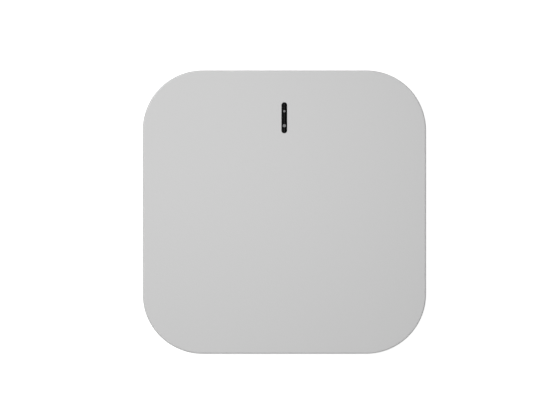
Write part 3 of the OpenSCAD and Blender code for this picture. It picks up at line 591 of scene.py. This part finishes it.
def reset_cap():
    """The reset button: a dished cap with a rolled rim, its keeper flange and its stem."""
    low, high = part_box("reset_button")
    middle = (low + high) / 2
    length = high.y - low.y
    flange = (high.x - low.x) / 2
    front = length - STEM_L - FLANGE_T
    back = length - STEM_L
    shares = [step / DISH_STEPS for step in range(DISH_STEPS + 1)]
    profile = [(DISH_R * share, DISH_DEPTH * (1 - share ** 2)) for share in shares]
    profile += rim(CAP_R, CAP_ROUND)
    profile += [
        (CAP_R, front), (flange - BREAK, front), (flange, front + BREAK),
        (flange, back - BREAK), (flange - BREAK, back), (STEM_R, back),
        (STEM_R, length - BREAK), (STEM_R - BREAK, length), (0.0, length)]
    bm = bmesh.new()
    turn(bm, profile, lambda x, y, s: (middle.x + x, low.y + s, middle.z - y))
    piece = add_piece("reset_cap", bm, button_plastic, "reset_key")
    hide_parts("reset_button")


def foot_pad(node):
    """A rubber foot: a rolled edge, a moulded groove and a shallow middle."""
    low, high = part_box(node)
    middle = (low + high) / 2
    radius = (high.x - low.x) / 2
    thick = high.z - low.z
    groove = radius - FOOT_GROOVE_IN
    profile = [
        (0.0, FOOT_HOLLOW), (FOOT_HOLLOW_R - FOOT_HOLLOW, FOOT_HOLLOW), (FOOT_HOLLOW_R, 0.0),
        (groove - FOOT_GROOVE_W, 0.0),
        (groove - (1 - FOOT_GROOVE_SLOPE) * FOOT_GROOVE_W, FOOT_HOLLOW),
        (groove - FOOT_GROOVE_SLOPE * FOOT_GROOVE_W, FOOT_HOLLOW), (groove, 0.0)]
    profile += rim(radius, FOOT_ROUND)
    profile += [(radius, thick), (0.0, thick)]
    bm = bmesh.new()
    turn(bm, profile, lambda x, y, s: (middle.x + x, middle.y + y, low.z + s))
    name = node.replace("foot", "foot_pad")
    piece = add_piece(name, bm, foot_rubber, "housing")
    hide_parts(node)


def frame_line(bm, low, high, z):
    """A thin printed line just inside a rectangle."""
    rings = []
    for inset, level in ((0.0, z), (0.0, z + MARK_T), (MARK_W, z + MARK_T), (MARK_W, z)):
        corners = ((low.x + inset, low.y + inset), (high.x - inset, low.y + inset),
                   (high.x - inset, high.y - inset), (low.x + inset, high.y - inset))
        rings.append([bm.verts.new((x, y, level)) for x, y in corners])
    for ring, following in zip(rings, rings[1:] + rings[:1]):
        for i in range(4):
            j = (i + 1) % 4
            bm.faces.new((ring[i], ring[j], following[j], following[i]))


def board_marks():
    """Printed outlines on the board round its larger parts, with no lettering."""
    _, board_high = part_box("main_board")
    margin = Vector((MARK_MARGIN, MARK_MARGIN, 0.0))
    bm = bmesh.new()
    for node in MARKED:
        low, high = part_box(node)
        frame_line(bm, low - margin, high + margin, board_high.z)
    add_piece("board_marks", bm, silkscreen, "housing")


reset_cap()
for foot in FEET:
    foot_pad(foot)
board_marks()


# ---------------------------------------------------------------- stage

ORIGIN = Vector((0.0, 0.0, 0.0))
WHITE = (1.0, 1.0, 1.0, 1.0)

# The camera: its height over the roof, the width that the picture shows there, and its place
CAMERA_HEIGHT = 1.6
FRAME_WIDTH = 0.1777
SENSOR = 0.036
FRAME_OFFSET = Vector((-0.00137, 0.00064, 0.0))

# The floor: its left, right, near and far edges, how white it looks where it is seen, and how
# far its open part reaches, in parts of the hub's half width
FLOOR_SIDES = (-2.0, 1.2, -1.4, 1.8)
FLOOR_COLOR = (0.8, 0.8, 0.8, 1.0)
FLOOR_LIFT = 0.75
FLOOR_LIFT_MIRRORED = 0.3
FLOOR_DROP = 0.02 * MM
OPEN_SHARE = 1.03

# The light: a plain level from all round, a soft lamp from the left, a small one that shows as
# the streak on the status window, and a low one that catches the edges away from the ports
AMBIENT = 0.393
KEY_PLACE = Vector((-0.24, 0.08, 0.4))
KEY_SIZE = 0.25
KEY_POWER = 0.74
TOP_PLACE = Vector((-0.005, 0.021, 0.283))
TOP_AIM = Vector((TOP_PLACE.x, TOP_PLACE.y, 0.0))
TOP_SIZE = 0.055
TOP_POWER = 0.157
EDGE_PLACE = Vector((-0.715, 1.404, 0.278))
EDGE_SIZE = 0.4
EDGE_POWER = 7.6


def seen(graph, direct, mirrored):
    """One value where it is seen directly, one in reflections and glass, and 0 elsewhere."""
    path = graph.new("ShaderNodeLightPath").outputs
    shares = [graph.combine("MULTIPLY", path[kind], share) for kind, share in (
        ("Is Camera Ray", direct), ("Is Glossy Ray", mirrored),
        ("Is Transmission Ray", mirrored))]
    total = shares[0]
    for share in shares[1:]:
        total = graph.combine("MAXIMUM", total, share)
    return total


def under_hub(graph):
    """1 under the hub for light that isn't seen directly, so that the plain level reaches its
    underside. Where x^4 + y^4 is under a limit is a square with round corners."""
    low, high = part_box("bottom_cover")
    place = graph.new("ShaderNodeTexCoord").outputs["Object"]
    squared = graph.new("ShaderNodeVectorMath", operation="MULTIPLY")
    graph.put(place, squared.inputs[0])
    graph.put(place, squared.inputs[1])
    length = graph.new("ShaderNodeVectorMath", operation="LENGTH")
    graph.put(squared.outputs["Vector"], length.inputs[0])
    limit = ((high.x - low.x) / 2 * OPEN_SHARE) ** 2
    inside = graph.combine("LESS_THAN", length.outputs["Value"], limit)
    return graph.combine("SUBTRACT", inside, seen(graph, 1.0, 1.0), clamp=True)


def make_floor():
    """A plain white floor that keeps a faint shadow, and is seen from above alone."""
    left, right, near, far = FLOOR_SIDES
    bm = bmesh.new()
    corners = ((left, near), (right, near), (right, far), (left, far))
    bm.faces.new([bm.verts.new((x, y, -FLOOR_DROP)) for x, y in corners])
    mesh = bpy.data.meshes.new("floor")
    bm.to_mesh(mesh)
    bm.free()
    floor = bpy.data.objects.new("floor", mesh)
    bpy.context.scene.collection.objects.link(floor)

    material = bpy.data.materials.new("floor_white")
    material.use_nodes = True
    material.node_tree.nodes.clear()
    graph = Graph(material.node_tree)
    out = graph.new("ShaderNodeOutputMaterial")
    diffuse = graph.new("ShaderNodeBsdfDiffuse")
    graph.put(FLOOR_COLOR, diffuse.inputs["Color"])
    lift = graph.new("ShaderNodeEmission")
    graph.put(seen(graph, FLOOR_LIFT, FLOOR_LIFT_MIRRORED), lift.inputs["Strength"])
    white = graph.new("ShaderNodeAddShader")
    graph.put(diffuse.outputs["BSDF"], white.inputs[0])
    graph.put(lift.outputs["Emission"], white.inputs[1])
    clear = graph.new("ShaderNodeBsdfTransparent")
    below = graph.new("ShaderNodeNewGeometry").outputs["Backfacing"]
    choice = graph.new("ShaderNodeMixShader")
    graph.put(graph.combine("MAXIMUM", below, under_hub(graph)), choice.inputs["Fac"])
    graph.put(white.outputs["Shader"], choice.inputs[1])
    graph.put(clear.outputs["BSDF"], choice.inputs[2])
    graph.put(choice.outputs["Shader"], out.inputs["Surface"])
    mesh.materials.append(material)


def make_world():
    """White where it is seen, and a plain level of light elsewhere."""
    world = bpy.data.worlds.new("studio")
    bpy.context.scene.world = world
    world.use_nodes = True
    graph = Graph(world.node_tree)
    background = graph.tree.nodes["Background"]
    graph.put(WHITE, background.inputs["Color"])
    level = graph.spread(seen(graph, 1.0, 1.0), AMBIENT, 1.0)
    graph.put(level, background.inputs["Strength"])


def make_lamp(name, place, aim, size, power):
    """A soft round lamp that faces a point."""
    data = bpy.data.lights.new(name, "AREA")
    data.shape = "DISK"
    data.size = size
    data.energy = power
    lamp_object = bpy.data.objects.new(name, data)
    lamp_object.location = place
    lamp_object.rotation_euler = (aim - place).to_track_quat("-Z", "Y").to_euler()
    bpy.context.scene.collection.objects.link(lamp_object)


def make_camera():
    """Straight above the roof, with +Y up in the picture."""
    _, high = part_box("top_cover")
    data = bpy.data.cameras.new("camera")
    data.sensor_width = SENSOR / MM
    data.lens = SENSOR / MM * CAMERA_HEIGHT / FRAME_WIDTH
    camera = bpy.data.objects.new("camera", data)
    camera.location = FRAME_OFFSET + Vector((0.0, 0.0, high.z + CAMERA_HEIGHT))
    bpy.context.scene.collection.objects.link(camera)
    bpy.context.scene.camera = camera


make_floor()
make_world()
make_lamp("key", KEY_PLACE, ORIGIN, KEY_SIZE, KEY_POWER)
make_lamp("top", TOP_PLACE, TOP_AIM, TOP_SIZE, TOP_POWER)
make_lamp("edge", EDGE_PLACE, ORIGIN, EDGE_SIZE, EDGE_POWER)
make_camera()
bpy.context.scene.view_settings.view_transform = "Standard"
